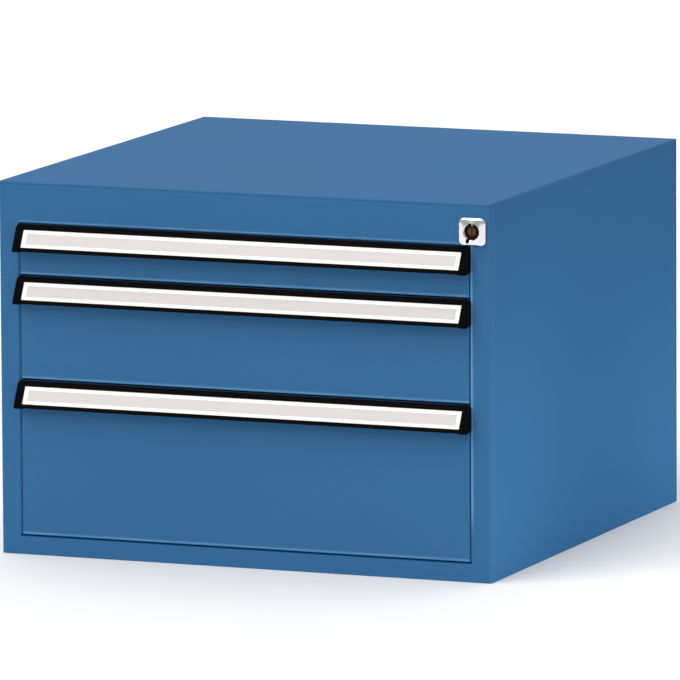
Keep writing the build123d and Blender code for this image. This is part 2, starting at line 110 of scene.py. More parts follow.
# Lock plate
BEZEL_CORNER, BEZEL_CORNER_STEPS = 0.008, 8
BEZEL_SIDE_CUTS = 7
BEZEL_SIDE = 0.0046
BEZEL_SHOULDER = 0.0020
BEZEL_TAPER = 0.90
BEZEL_SIDE_ROUND, BEZEL_FACE_ROUND, BEZEL_ROUND_STEPS = 0.0012, 0.0010, 3
BEZEL_CROWN_RINGS = 3
BEZEL_THROAT, BEZEL_THROAT_SIDES = 0.012, 64
BEZEL_RIM = 0.0006
BEZEL_FLOOR = 0.0008
INDEX_ANGLE = 247.0
INDEX_RADIUS = 0.0137
INDEX_LENGTH = 0.0085
INDEX_WIDTH = 0.0050
INDEX_DEPTH = 0.0056
INDEX_ROUND_STEPS = 5

# Keyway
KEYWAY_HALF = 0.0009
LIP_WIDTH = 0.0009
LIP_PROUD = 0.0006
LIP_HALF = 0.0048
LIP_ROUND, LIP_ROUND_STEPS = 0.00027, 3

# Barrel mark
NIB_RADIUS = 0.0078
NIB_WIDTH = 0.0018
NIB_LENGTH = 0.0036
NIB_PROUD = 0.0010
NIB_ROUND, NIB_ROUND_STEPS = 0.00081, 4

# Handle ends
HANDLE_LEAN = radians(28.0)
HANDLE_TOP = 0.002
HANDLE_FACE = 0.042
HANDLE_END = 0.340
CAP_PROUD = 0.001
CAP_DEPTH = 0.0034
CAP_ROUND, CAP_ROUND_STEPS = 0.0013, 4
CAP_CORNER, CAP_CORNER_STEPS = 0.0060, 5

# Label strips
LABEL_MIDDLE = 0.0225
COVER_OUT = -0.0007
COVER_THICKNESS = 0.0008
COVER_HEIGHT = 0.0274
COVER_ROUND, COVER_ROUND_STEPS = 0.00025, 2

# Drawer bodies
TRAY_SHEET = 0.0012
TRAY_BEND, TRAY_BEND_STEPS = 0.002, 4
TRAY_FOOT_STEPS = 2
TRAY_HEM = 0.008
SLOT_PITCH = 0.025
SLOT_COUNT = 25
SLOT_WIDTH = 0.0026
SLOT_MARGIN = 0.010
SLOT_ROW = 0.070
SLOT_TOOL_OUT, SLOT_TOOL_IN = 0.002, 0.004
RIVET_RADIUS, RIVET_SIDES = 0.0045, 20
RIVET_DOME = 0.0016
RIVET_ROUND, RIVET_ROUND_STEPS = 0.00128, 4
RIVET_COUNT = 4
RIVET_END = 0.040

# Slides
RAIL_SHEET = 0.0016
RAIL_BEND, RAIL_BEND_STEPS = 0.0022, 3
HOLE_COUNT = 6
HOLE_FROM_END = 0.060
HOLE_LENGTH = 0.022
HOLE_HEIGHT = 0.009
HOLE_ROUND_STEPS = 4

# Rear sheet
BACK_BEVEL, BACK_BEVEL_STEPS = 0.0004, 2
BACK_MARGIN = 0.022
BACK_STEP = 0.0007
BACK_STEP_WIDTH = 0.0014
WELD_ROWS, WELD_COLUMNS = 6, 9
WELD_FROM_END = 0.048
WELD_FROM_EDGE = 0.011
WELD_RADIUS, WELD_SIDES, WELD_RINGS = 0.010, 24, 16
WELD_DEPTH = 0.0007
WELD_SHARP_ANGLE = 15.0

# Edges where light and shade are painted into the coat: painted highlights on the bends, painted
# light inside the gaps beside the drawers and painted shade on the ledge of the bottom rail
OPENING_HALF = 0.350
OPENING_TOP = 0.4852
OPENING_FOOT = 0.028
HIGHLIGHT_CORE, HIGHLIGHT_END = 0.0014, 0.0036
HIGHLIGHT_PART = 0.6
PATCH_LEAST = 0.5
POST_HIGHLIGHT_LOW, POST_HIGHLIGHT_HIGH = 0.060, 0.110
GAP_LIGHT_CORE, GAP_LIGHT_END = 0.0001, 0.0003
GAP_LIGHT_NEAR, GAP_LIGHT_FAR = 0.003, 0.008
LEDGE_CORE, LEDGE_END = 0.0012, 0.0022

# Label cards: border at the ends and along the long edges, and how soft its inner line is
CARD_END_BORDER, CARD_LONG_BORDER = 0.0056, 0.0038
CARD_SOFT = 0.0018

# Brass of the plug: bright inside one radius and dark outside the other
BRASS_BRIGHT, BRASS_DARK = 0.0030, 0.0066

# Colours, linear
COAT_BLUE = (0.0355, 0.126, 0.269)
# Spot-weld dimples: the coat darkened by WELD_SHADE, painted shade in the hollows
WELD_SHADE = 0.75
WELD_DIMPLE_SHADE_BLUE = tuple(WELD_SHADE * channel for channel in COAT_BLUE)
# Painted highlight along the bends of the frame and the drawer fronts
HIGHLIGHT_BLUE = (0.105, 0.255, 0.460)
# Painted light on the faces inside the gaps beside the drawers, which lie in shade
GAP_LIGHT_BLUE = (0.058, 0.26, 0.54)
# Painted shade on the ledge of the bottom rail, in the gap under the lowest drawer
LEDGE_SHADE_BLUE = (0.002, 0.038, 0.13)
ZINC_COOL = (0.56, 0.58, 0.61)
ZINC_WARM = (0.62, 0.60, 0.54)
ANODISED_BLACK = (0.0022, 0.0022, 0.0030)
MOULDED_BLACK = (0.0025, 0.0025, 0.0030)
CARD_FIELD = (0.615, 0.565, 0.56)
CARD_BORDER = (0.97, 0.96, 0.94)
FILM_CLEAR = (0.9, 0.9, 0.9)
CHROME = (0.80, 0.81, 0.83)
THROAT_WHITE = (0.90, 0.90, 0.91)
DARK_BRONZE = (0.020, 0.009, 0.006)
DULL_BRASS = (0.16, 0.070, 0.035)
PLUG_RIM_BROWN = (0.020, 0.011, 0.007)
FLOOR_PALE = (0.82, 0.82, 0.82)
SKY_WHITE = (1.0, 1.0, 1.0, 1.0)

# Darkest and lightest shade of a finish, as parts of its colour
COAT_SHADES = (0.92, 1.08)
BLACK_SHADES = (0.8, 1.3)
CARD_SHADES = (0.96, 1.04)
PLATED_SHADES = (0.92, 1.06)
BRASS_SHADES = (0.75, 1.2)
FLOOR_SHADES = (0.99, 1.01)

# Gloss of the finishes, and how metallic the lock's are
COAT_GLOSS, TOP_GLOSS, FRAME_GLOSS, DULL_GLOSS = 0.03, 0.018, 0.008, 0.0
BLACK_GLOSS = 0.012
FLOOR_GLOSS = 0.2
BRASS_METALLIC, THROAT_METALLIC = 0.8, 0.0

# Roughness of the finishes, and what each grain adds to it
COAT_ROUGH, COAT_DRIFT_ROUGH = 0.46, 0.10
ZINC_ROUGH, ZINC_ROLLED_ROUGH, ZINC_CLOUD_ROUGH = 0.24, 0.14, 0.08
ANODISED_ROUGH, ANODISED_DRAWN_ROUGH = 0.34, 0.12
MOULDED_ROUGH, MOULDED_GRAIN_ROUGH = 0.46, 0.12
CARD_ROUGH, CARD_FIBRE_ROUGH = 0.62, 0.12
FILM_ROUGH, FILM_WAVE_ROUGH = 0.10, 0.06
CHROME_ROUGH, BRONZE_ROUGH, THROAT_ROUGH = 0.10, 0.34, 0.40
PLATED_MARKS_ROUGH, PLATED_CLOUD_ROUGH = 0.08, 0.05
BRASS_ROUGH, BRASS_MARKS_ROUGH, BRASS_RIM_ROUGH = 0.32, 0.10, 0.10
FLOOR_ROUGH, FLOOR_CLOUD_ROUGH = 0.85, 0.05

# Cover of the clear film, and what its wave adds to it
FILM_ALPHA, FILM_WAVE_ALPHA = 0.03, 0.02

# Parts of two grains in one colour
COAT_DRIFT_PART, COAT_SPECK_PART = 0.6, 0.4
CARD_CLOUD_PART, CARD_FIBRE_PART = 0.5, 0.5

# Grain of the finishes: waves per metre, the same all round or along x, y and z
COAT_DRIFT, COAT_SPECK, COAT_PEEL, COAT_PATCHES = 2.2, 1400.0, 380.0, 22.0
ZINC_CLOUD, ZINC_ROLLED = 45.0, (700.0, 9.0, 700.0)
ANODISED_DRAWN = (5.0, 900.0, 900.0)
MOULDED_GRAIN, MOULDED_CLOUD = 1600.0, 60.0
CARD_FIBRE, CARD_CLOUD = 900.0, 14.0
FILM_WAVE = 30.0
PLATED_MARKS, PLATED_CLOUD = (260.0, 260.0, 1900.0), 150.0
BRASS_MARKS, BRASS_CLOUD = (900.0, 200.0, 900.0), 400.0
FLOOR_CLOUD = 0.8

# Depth of the grain
PEEL_DEPTH = 0.00012
ROLLED_DEPTH = 0.00004
DRAWN_DEPTH = 0.00003
GRAIN_DEPTH = 0.00006
FIBRE_DEPTH = 0.00003
WAVE_DEPTH = 0.00004
PLATED_DEPTH = 0.00001
BRASS_DEPTH = 0.00002


class Wire:
    """Output of a node in a finish. Arithmetic on it adds Math nodes to that finish."""

    def __init__(self, finish, socket):
        self.finish = finish
        self.socket = socket

    def maths(self, operation, *values):
        inputs = dict(enumerate(values))
        return self.finish.node("ShaderNodeMath", {"operation": operation}, inputs)

    def __add__(self, other):
        return self.maths("ADD", self, other)

    def __radd__(self, other):
        return self.maths("ADD", other, self)

    def __sub__(self, other):
        return self.maths("SUBTRACT", self, other)

    def __rsub__(self, other):
        return self.maths("SUBTRACT", other, self)

    def __mul__(self, other):
        return self.maths("MULTIPLY", self, other)

    def __rmul__(self, other):
        return self.maths("MULTIPLY", other, self)

    def __abs__(self):
        return self.maths("ABSOLUTE", self)


class Finish:
    """Nodes of a material, or of the sky. node() makes every one of them."""

    def __init__(self, name, kind="materials"):
        self.owner = getattr(bpy.data, kind).new(name)
        self.owner.use_nodes = True
        self.tree = self.owner.node_tree
        self.tree.nodes.clear()

    def node(self, kind, settings=None, inputs=None, output=0):
        made = self.tree.nodes.new(kind)
        for name, value in (settings or {}).items():
            setattr(made, name, value)
        for name, value in (inputs or {}).items():
            if isinstance(value, Wire):
                self.tree.links.new(value.socket, made.inputs[name])
            else:
                made.inputs[name].default_value = value
        return Wire(self, made.outputs[output]) if made.outputs else None

    def axes(self):
        """X, Y and Z of the point on the piece, in metres."""
        point = self.node("ShaderNodeTexCoord", output="Object")
        split = self.node("ShaderNodeSeparateXYZ", None, {"Vector": point})
        return [Wire(self, socket) for socket in split.socket.node.outputs]

    def noise(self, grain, detail=2.0):
        """Noise over the piece with a grain of one number, or of three for x, y and z."""
        stretch, scale = (grain, 1.0) if isinstance(grain, tuple) else ((1.0, 1.0, 1.0), grain)
        point = self.node("ShaderNodeTexCoord", output="Object")
        settings = {"vector_type": "POINT"}
        place = self.node("ShaderNodeMapping", settings, {"Vector": point, "Scale": stretch})
        inputs = {"Vector": place, "Scale": scale, "Detail": detail}
        return self.node("ShaderNodeTexNoise", None, inputs)

    def rise(self, value, low, high):
        """0 below low and 1 above high, with a smooth change between them."""
        inputs = {"Value": value, "From Min": low, "From Max": high}
        return self.node("ShaderNodeMapRange", {"interpolation_type": "SMOOTHSTEP"}, inputs)

    def fall(self, value, low, high):
        """1 below low and 0 above high."""
        return 1.0 - self.rise(value, low, high)

    def blend(self, factor, first, second):
        """Colour between two colours."""
        pair = (first, second)
        ends = [colour if isinstance(colour, Wire) else (*colour, 1.0) for colour in pair]
        inputs = {0: factor, 6: ends[0], 7: ends[1]}
        return self.node("ShaderNodeMix", {"data_type": "RGBA"}, inputs, output=2)

    def tint(self, factor, colour, shades):
        """Colour between its darkest and its lightest shade."""
        ends = [tuple(part * channel for channel in colour) for part in shades]
        return self.blend(factor, *ends)

    def bump(self, height, depth):
        inputs = {"Height": height, "Distance": depth, "Strength": 1.0}
        return self.node("ShaderNodeBump", None, inputs)

    def surface(self, base, **sockets):
        """Ends a material with a Principled surface. Socket names have _ for each space."""
        inputs = {name.replace("_", " "): value for name, value in sockets.items()}
        inputs["Base Color"] = base if isinstance(base, Wire) else (*base, 1.0)
        shader = self.node("ShaderNodeBsdfPrincipled", None, inputs)
        self.node("ShaderNodeOutputMaterial", None, {"Surface": shader})
        return self.owner


def powder_coat(name, colour=COAT_BLUE, edges=None, gloss=COAT_GLOSS):
    """Blue coat with a fine orange peel. edges paints light and shade into its colour along a
    piece's edges.
    """
    coat = Finish(name)
    drift = coat.noise(COAT_DRIFT)
    speck = coat.noise(COAT_SPECK)
    peel = coat.noise(COAT_PEEL, detail=1.0)
    mottle = COAT_DRIFT_PART * drift + COAT_SPECK_PART * speck
    base = coat.tint(mottle, colour, COAT_SHADES)
    if edges:
        base = edges(coat, base)
    return coat.surface(
        base,
        Roughness=COAT_ROUGH + COAT_DRIFT_ROUGH * drift,
        Normal=coat.bump(peel, PEEL_DEPTH),
        Specular_IOR_Level=gloss,
    )


def beside(coat, value, edge, core=HIGHLIGHT_CORE, end=HIGHLIGHT_END):
    """1 next to an edge and 0 away from it."""
    return coat.fall(abs(value - edge), core, end)


def paint_highlight(coat, base, where):
    """Painted highlight in patches, where a mask is above 0."""
    patches = PATCH_LEAST + coat.noise(COAT_PATCHES)
    return coat.blend(patches * where, base, HIGHLIGHT_BLUE)


def gap_light(coat, x, y, end):
    """1 on the front of an upright face beside a drawer, this far from the middle, where light is
    painted into the gap.
    """
    near = coat.fall(y, cad_front + GAP_LIGHT_NEAR, cad_front + GAP_LIGHT_FAR)
    return beside(coat, abs(x), end, GAP_LIGHT_CORE, GAP_LIGHT_END) * near


def frame_edges(coat, base):
    """Edges of the drawer opening.

    They carry painted highlights on the lock side and under the top rail, painted light
    inside the posts and painted shade on the ledge of the bottom rail.
    """
    x, y, z = coat.axes()
    post = beside(coat, x, OPENING_HALF + HIGHLIGHT_CORE) * coat.rise(z, POST_HIGHLIGHT_LOW, POST_HIGHLIGHT_HIGH)
    below_rail = coat.fall(z, OPENING_TOP, OPENING_TOP + HIGHLIGHT_END)
    between_posts = coat.fall(abs(x), OPENING_HALF, OPENING_HALF + HIGHLIGHT_END)
    rail = beside(coat, z, OPENING_TOP + HIGHLIGHT_CORE) * between_posts
    base = paint_highlight(coat, base, post * below_rail + HIGHLIGHT_PART * rail)
    above_foot = coat.rise(z, OPENING_FOOT, OPENING_FOOT + GAP_LIGHT_END)
    opening = above_foot - coat.rise(z, OPENING_TOP - GAP_LIGHT_END, OPENING_TOP)
    base = coat.blend(gap_light(coat, x, y, OPENING_HALF) * opening, base, GAP_LIGHT_BLUE)
    ledge = beside(coat, z, OPENING_FOOT, LEDGE_CORE, LEDGE_END) * between_posts
    return coat.blend(ledge, base, LEDGE_SHADE_BLUE)


def front_edges(node):
    """Edges of a drawer front: a painted highlight at the foot and painted light on both ends."""
    low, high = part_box(node)

    def edges(coat, base):
        x, y, z = coat.axes()
        base = paint_highlight(coat, base, HIGHLIGHT_PART * beside(coat, z, low.z + HIGHLIGHT_CORE))
        return coat.blend(gap_light(coat, x, y, high.x), base, GAP_LIGHT_BLUE)

    return edges


def zinc_plate(name):
    """Plated steel with clouds and the marks of the rolls along the slides."""
    zinc = Finish(name)
    cloud = zinc.noise(ZINC_CLOUD)
    rolled = zinc.noise(ZINC_ROLLED)
    return zinc.surface(
        zinc.blend(cloud, ZINC_COOL, ZINC_WARM),
        Metallic=1.0,
        Roughness=ZINC_ROUGH + ZINC_ROLLED_ROUGH * rolled + ZINC_CLOUD_ROUGH * cloud,
        Normal=zinc.bump(rolled, ROLLED_DEPTH),
    )


def black_anodised(name):
    """Black profile with fine lines drawn along it."""
    black = Finish(name)
    drawn = black.noise(ANODISED_DRAWN)
    return black.surface(
        black.tint(drawn, ANODISED_BLACK, BLACK_SHADES),
        Roughness=ANODISED_ROUGH + ANODISED_DRAWN_ROUGH * drawn,
        Normal=black.bump(drawn, DRAWN_DEPTH),
        Specular_IOR_Level=BLACK_GLOSS,
    )


def black_moulding(name):
    """Black plastic with a fine moulded grain."""
    black = Finish(name)
    grain = black.noise(MOULDED_GRAIN)
    cloud = black.noise(MOULDED_CLOUD)
    return black.surface(
        black.tint(cloud, MOULDED_BLACK, BLACK_SHADES),
        Roughness=MOULDED_ROUGH + MOULDED_GRAIN_ROUGH * grain,
        Normal=black.bump(grain, GRAIN_DEPTH),
        Specular_IOR_Level=BLACK_GLOSS,
    )


def label_card(name, node):
    """Card with a white border round a warmer field, as large as the node."""
    card = Finish(name)
    low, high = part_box(node)
    middle = (low + high) / 2
    half = (high - low) / 2
    end, edge = half.x - CARD_END_BORDER, half.z - CARD_LONG_BORDER
    x, _, z = card.axes()
    inside_x = card.fall(abs(x - middle.x), end - CARD_SOFT, end)
    inside_z = card.fall(abs(z - middle.z), edge - CARD_SOFT, edge)
    fibre = card.noise(CARD_FIBRE)
    cloud = card.noise(CARD_CLOUD)
    mottle = CARD_CLOUD_PART * cloud + CARD_FIBRE_PART * fibre
    field = card.tint(mottle, CARD_FIELD, CARD_SHADES)
    return card.surface(
        card.blend(inside_x * inside_z, CARD_BORDER, field),
        Roughness=CARD_ROUGH + CARD_FIBRE_ROUGH * fibre,
        Normal=card.bump(fibre, FIBRE_DEPTH),
    )


def clear_film(name):
    """Thin clear plastic with a slight wave."""
    film = Finish(name)
    wave = film.noise(FILM_WAVE)
    return film.surface(
        FILM_CLEAR,
        Roughness=FILM_ROUGH + FILM_WAVE_ROUGH * wave,
        Normal=film.bump(wave, WAVE_DEPTH),
        Alpha=FILM_ALPHA + FILM_WAVE_ALPHA * wave,
    )


def plated(name, colour, roughness, metallic=1.0):
    """Bright, darkened or satin metal with fine polishing marks."""
    metal = Finish(name)
    marks = metal.noise(PLATED_MARKS)
    cloud = metal.noise(PLATED_CLOUD)
    return metal.surface(
        metal.tint(cloud, colour, PLATED_SHADES),
        Metallic=metallic,
        Roughness=roughness + PLATED_MARKS_ROUGH * marks + PLATED_CLOUD_ROUGH * cloud,
        Normal=metal.bump(marks, PLATED_DEPTH),
    )


def plug_brass(name, node):
    """Brass face of a lock plug, brighter round the keyway and darker towards its rim."""
    brass = Finish(name)
    low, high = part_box(node)
    centre = (low + high) / 2
    x, _, z = brass.axes()
    across, upward = x - centre.x, z - centre.z
    reach = across * across + upward * upward
    rim = brass.rise(reach, BRASS_BRIGHT * BRASS_BRIGHT, BRASS_DARK * BRASS_DARK)
    marks = brass.noise(BRASS_MARKS)
    cloud = brass.noise(BRASS_CLOUD)
    metal = brass.tint(cloud, DULL_BRASS, BRASS_SHADES)
    return brass.surface(
        brass.blend(rim, metal, PLUG_RIM_BROWN),
        Metallic=BRASS_METALLIC,
        Roughness=BRASS_ROUGH + BRASS_MARKS_ROUGH * marks + BRASS_RIM_ROUGH * rim,
        Normal=brass.bump(marks, BRASS_DEPTH),
    )


def pale_floor(name):
    """Matt pale floor with hardly any clouds."""
    floor = Finish(name)
    cloud = floor.noise(FLOOR_CLOUD)
    return floor.surface(
        floor.tint(cloud, FLOOR_PALE, FLOOR_SHADES),
        Roughness=FLOOR_ROUGH + FLOOR_CLOUD_ROUGH * cloud,
        Specular_IOR_Level=FLOOR_GLOSS,
    )


def dress(names, material):
    """Gives CAD nodes a material."""
    for name in names:
        slots = nodes[name].data.materials
        slots.clear()
        slots.append(material)


def dress_nodes():
    """Gives every CAD node its finish, and returns the finishes by material slot."""
    made = {
        "cabinet_paint": powder_coat("blue_powder_coat"),
        "drawer_paint": powder_coat("drawer_powder_coat"),
        "zinc_steel": zinc_plate("zinc_plated_steel"),
        "handle_black": black_anodised("black_anodised_profile"),
        "cap_plastic": black_moulding("black_moulded_cap"),
        "label_film": clear_film("clear_label_strip"),
        "lock_chrome": plated("lock_chrome", CHROME, CHROME_ROUGH),
        "lock_bronze": plated("lock_dark_bronze", DARK_BRONZE, BRONZE_ROUGH),
        "lock_brass": plug_brass("lock_handled_brass", "lock_plug"),
        "lock_shadow": black_moulding("lock_slot_painted_shadow"),
        "lock_throat": plated("lock_throat_satin", THROAT_WHITE, THROAT_ROUGH, THROAT_METALLIC),
        "weld_coat": powder_coat("weld_dimple_painted_shade", WELD_DIMPLE_SHADE_BLUE, gloss=DULL_GLOSS),
    }
    for part in frame["record"]["subparts"]:
        slot = part["material_slot"]
        if slot in made:
            dress([part["node"]], made[slot])
    dress(
        ["front_frame"],
        powder_coat("frame_coat_painted_light_and_shade", edges=frame_edges, gloss=FRAME_GLOSS),
    )
    dress(
        ["side_panel_left", "side_panel_right"],
        powder_coat("side_powder_coat", gloss=DULL_GLOSS),
    )
    dress(["top_panel"], powder_coat("top_powder_coat", gloss=TOP_GLOSS))
    for number in DRAWERS:
        front, label = f"drawer_{number}_front", f"drawer_{number}_label"
        dress([front], powder_coat(f"drawer_{number}_front_coat", edges=front_edges(front)))
        dress([label], label_card(f"label_card_{number}", label))
    return made


def begin(name, slot, add, **settings):
    """Starts a piece from a primitive in a finish, with its size and place in its mesh."""
    bpy.ops.object.select_all(action="DESELECT")
    add(**settings)
    piece = bpy.context.active_object
    piece.name = name
    piece.data.name = name
    piece.data.materials.append(finishes[slot])
    bpy.ops.object.transform_apply(location=True, rotation=True, scale=True)
    return piece


def block(name, slot, low, high):
    """Starts a piece from a box between two corners."""
    low, high = Vector(low), Vector(high)
    return begin(
        name, slot, bpy.ops.mesh.primitive_cube_add,
        size=1.0, location=(low + high) / 2, scale=high - low,
    )


def take(piece):
    """Makes a piece the only one selected, and the active one."""
    bpy.ops.object.select_all(action="DESELECT")
    piece.select_set(True)
    bpy.context.view_layer.objects.active = piece


def work_on(piece):
    """Goes into edit mode on one piece."""
    take(piece)
    bpy.ops.object.mode_set(mode="EDIT")


def pick(kind, test):
    """Selects the vertices, edges or faces of the piece in edit mode that pass a test."""
    bpy.ops.mesh.select_mode(type=kind)
    bpy.ops.mesh.select_all(action="DESELECT")
    mesh = bpy.context.active_object.data
    shape = bmesh.from_edit_mesh(mesh)
    shape.normal_update()
    items = {"VERT": shape.verts, "EDGE": shape.edges, "FACE": shape.faces}[kind]
    for item in items:
        if test(item):
            item.select_set(True)
    shape.select_flush_mode()
    bmesh.update_edit_mesh(mesh)


def pick_all():
    bpy.ops.mesh.select_all(action="SELECT")


def extrude(x, y, z):
    bpy.ops.mesh.extrude_region_move(TRANSFORM_OT_translate={"value": (x, y, z)})


def middle_of(edge):
    return (edge.verts[0].co + edge.verts[1].co) / 2


def runs_along(edge, axis):
    """True for an edge parallel to an axis, 0, 1 or 2."""
    along = edge.verts[1].co - edge.verts[0].co
    return abs(along[axis]) > PARALLEL * along.length


def lies_at(edge, y):
    """True for an edge in the upright plane at this y."""
    return sum(abs(vert.co.y - y) for vert in edge.verts) < TOUCH


def leave(piece):
    """Ends the work on a piece: faces outwards, smooth except at sharp edges."""
    pick_all()
    bpy.ops.mesh.normals_make_consistent(inside=False)
    bpy.ops.object.mode_set(mode="OBJECT")
    bpy.ops.object.shade_smooth_by_angle(angle=radians(SHARP_ANGLE))


def add_mirror_image(x):
    """Adds the mirror image of the whole piece across the upright plane at this x."""
    pick_all()
    bpy.ops.mesh.duplicate()
    bpy.ops.transform.resize(value=(-1, 1, 1), center_override=(x, 0, 0))


def modify(piece, kind, **settings):
    """Adds a modifier to a piece and applies it."""
    take(piece)
    modifier = piece.modifiers.new(kind.lower(), kind)
    for name, value in settings.items():
        setattr(modifier, name, value)
    bpy.ops.object.modifier_apply(modifier=modifier.name)


def repeat(piece, count, step):
    """Repeats a piece along a step, in its own mesh."""
    modify(
        piece, "ARRAY", count=count, use_relative_offset=False, use_constant_offset=True,
        constant_offset_displace=step,
    )


def thicken(piece, thickness, towards):
    """Gives a folded sheet its thickness, on the side of its largest face towards a direction."""
    web = max(piece.data.polygons, key=lambda face: face.area)
    side = 1.0 if web.normal.dot(Vector(towards)) > 0 else -1.0
    modify(piece, "SOLIDIFY", thickness=thickness, offset=side, use_even_offset=True)


def cut(piece, tool, sharp=SHARP_ANGLE):
    """Takes the tool's shape out of a piece, with the tool's finish, and removes the tool."""
    modify(
        piece, "BOOLEAN", operation="DIFFERENCE", solver="EXACT", material_mode="TRANSFER",
        object=tool,
    )
    bpy.ops.object.shade_smooth_by_angle(angle=radians(sharp))
    bpy.data.objects.remove(tool)


def fit(piece, body, slot, *replaced):
    """Hangs a finished piece on its body and says which CAD nodes it stands for."""
    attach(piece, body)
    if replaced:
        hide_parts(*replaced)


def make_lock_bezel():
    """Chrome plate with rounded shoulders, a crowned face and a round throat for the barrel."""
    low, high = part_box("lock_escutcheon")
    centre = (low + high) / 2
    crown, wall = low.y, high.y
    side_y = wall - BEZEL_SIDE
    face_y = side_y - BEZEL_SHOULDER
    pivot = (centre.x, wall, centre.z)
    bezel = begin(
        "lock_bezel", "lock_chrome", bpy.ops.mesh.primitive_plane_add,
        size=high.x - low.x, location=pivot, rotation=(pi / 2, 0, 0),
    )
    work_on(bezel)
    pick_all()
    bpy.ops.mesh.bevel(offset=BEZEL_CORNER, segments=BEZEL_CORNER_STEPS, affect="VERTICES")
    pick("EDGE", lambda edge: edge.calc_length() > BEZEL_CORNER)
    bpy.ops.mesh.subdivide(number_cuts=BEZEL_SIDE_CUTS)
    pick("FACE", lambda face: True)
    extrude(0, -BEZEL_SIDE, 0)
    extrude(0, -BEZEL_SHOULDER, 0)
    bpy.ops.transform.resize(value=(BEZEL_TAPER, 1, BEZEL_TAPER), center_override=pivot)
    bpy.ops.mesh.delete(type="ONLY_FACE")
    bpy.ops.mesh.primitive_circle_add(
        vertices=BEZEL_THROAT_SIDES, radius=BEZEL_THROAT + BEZEL_RIM,
        location=(centre.x, crown, centre.z), rotation=(pi / 2, 0, 0),
    )
    pick("EDGE", lambda edge: len(edge.link_faces) < 2 and middle_of(edge).y < face_y + TOUCH)
    bpy.ops.mesh.bridge_edge_loops(number_cuts=BEZEL_CROWN_RINGS)
    pick("EDGE", lambda edge: len(edge.link_faces) == 1 and abs(middle_of(edge).y - crown) < TOUCH)
    extrude(0, BEZEL_RIM, 0)
    inward = BEZEL_THROAT / (BEZEL_THROAT + BEZEL_RIM)
    bpy.ops.transform.resize(value=(inward, 1, inward), center_override=pivot)
    extrude(0, wall - BEZEL_FLOOR - crown - BEZEL_RIM, 0)
    pick("FACE", lambda face: face.normal.y > FACING)
    bpy.ops.mesh.delete(type="ONLY_FACE")
    pick("EDGE", lambda edge: len(edge.link_faces) == 1)
    bpy.ops.mesh.bridge_edge_loops()
    pick("EDGE", lambda edge: lies_at(edge, side_y))
    bpy.ops.mesh.bevel(offset=BEZEL_SIDE_ROUND, segments=BEZEL_ROUND_STEPS)
    pick("EDGE", lambda edge: lies_at(edge, face_y))
    bpy.ops.mesh.bevel(offset=BEZEL_FACE_ROUND, segments=BEZEL_ROUND_STEPS)
    line_throat(bezel, centre)
    leave(bezel)
    cut_index(bezel, Vector((centre.x, crown, centre.z)))
    fit(bezel, "housing", "lock_chrome", "lock_escutcheon")


def line_throat(bezel, centre):
    """Gives the wall of the throat its satin finish."""
    bezel.data.materials.append(finishes["lock_throat"])
    bezel.active_material_index = len(bezel.data.materials) - 1
    widest = BEZEL_THROAT + TOUCH
    pick("FACE", lambda face: hypot(*(face.calc_center_median() - centre).xz) < widest)
    bpy.ops.object.material_slot_assign()


def cut_index(bezel, crown):
    """Cuts a slot beside the throat, at the lower left, with black walls as painted shadow."""
    turn = radians(INDEX_ANGLE)
    middle = crown + INDEX_RADIUS * Vector((cos(turn), 0, sin(turn)))
    half = Vector((INDEX_LENGTH / 2, INDEX_DEPTH, INDEX_WIDTH / 2))
    tool = block("index_tool", "lock_shadow", -half, half)
    work_on(tool)
    pick("EDGE", lambda edge: runs_along(edge, 1))
    bpy.ops.mesh.bevel(offset=NEARLY_HALF * INDEX_WIDTH, segments=INDEX_ROUND_STEPS)
    bpy.ops.object.mode_set(mode="OBJECT")
    tool.matrix_world = Matrix.Translation(middle) @ Matrix.Rotation(-turn, 4, "Y")
    bpy.ops.object.transform_apply(location=True, rotation=True, scale=True)
    cut(bezel, tool)


def make_keyway_lips():
    """Bright lips beside the keyway of the plug."""
    low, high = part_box("lock_plug")
    centre = (low + high) / 2
    inner = centre.x + KEYWAY_HALF
    lips = block(
        "lock_keyway_lips", "lock_brass",
        (inner, low.y - LIP_PROUD, centre.z - LIP_HALF),
        (inner + LIP_WIDTH, low.y, centre.z + LIP_HALF),
    )
    work_on(lips)
    pick("FACE", lambda face: face.normal.y < -FACING)
    bpy.ops.mesh.bevel(offset=LIP_ROUND, segments=LIP_ROUND_STEPS)
    pick_all()
    bpy.ops.mesh.duplicate()
    bpy.ops.transform.translate(value=(-2 * KEYWAY_HALF - LIP_WIDTH, 0, 0))
    leave(lips)
    fit(lips, "lock_core", "lock_brass")


def make_barrel_index():
    """Bright nib on the face of the barrel, at the top of the throat."""
    low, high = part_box("lock_barrel")
    centre = (low + high) / 2
    foot = centre.z + NIB_RADIUS
    nib = block(
        "lock_barrel_index", "lock_chrome",
        (centre.x - NIB_WIDTH / 2, low.y - NIB_PROUD, foot),
        (centre.x + NIB_WIDTH / 2, low.y, foot + NIB_LENGTH),
    )
    work_on(nib)
    pick("FACE", lambda face: face.normal.y < -FACING)
    bpy.ops.mesh.bevel(offset=NIB_ROUND, segments=NIB_ROUND_STEPS)
    leave(nib)
    fit(nib, "housing", "lock_chrome")


def weld_marks(first, count, step, across):
    """Row of balls that press shallow spot-weld marks, and a second row across the sheet. The
    marks take a darker coat, painted shade in the dimples.
    """
    marks = begin(
        "weld_tool", "weld_coat", bpy.ops.mesh.primitive_uv_sphere_add,
        segments=WELD_SIDES, ring_count=WELD_RINGS, radius=WELD_RADIUS, location=first,
    )
    repeat(marks, count, step)
    repeat(marks, 2, across)
    return marks


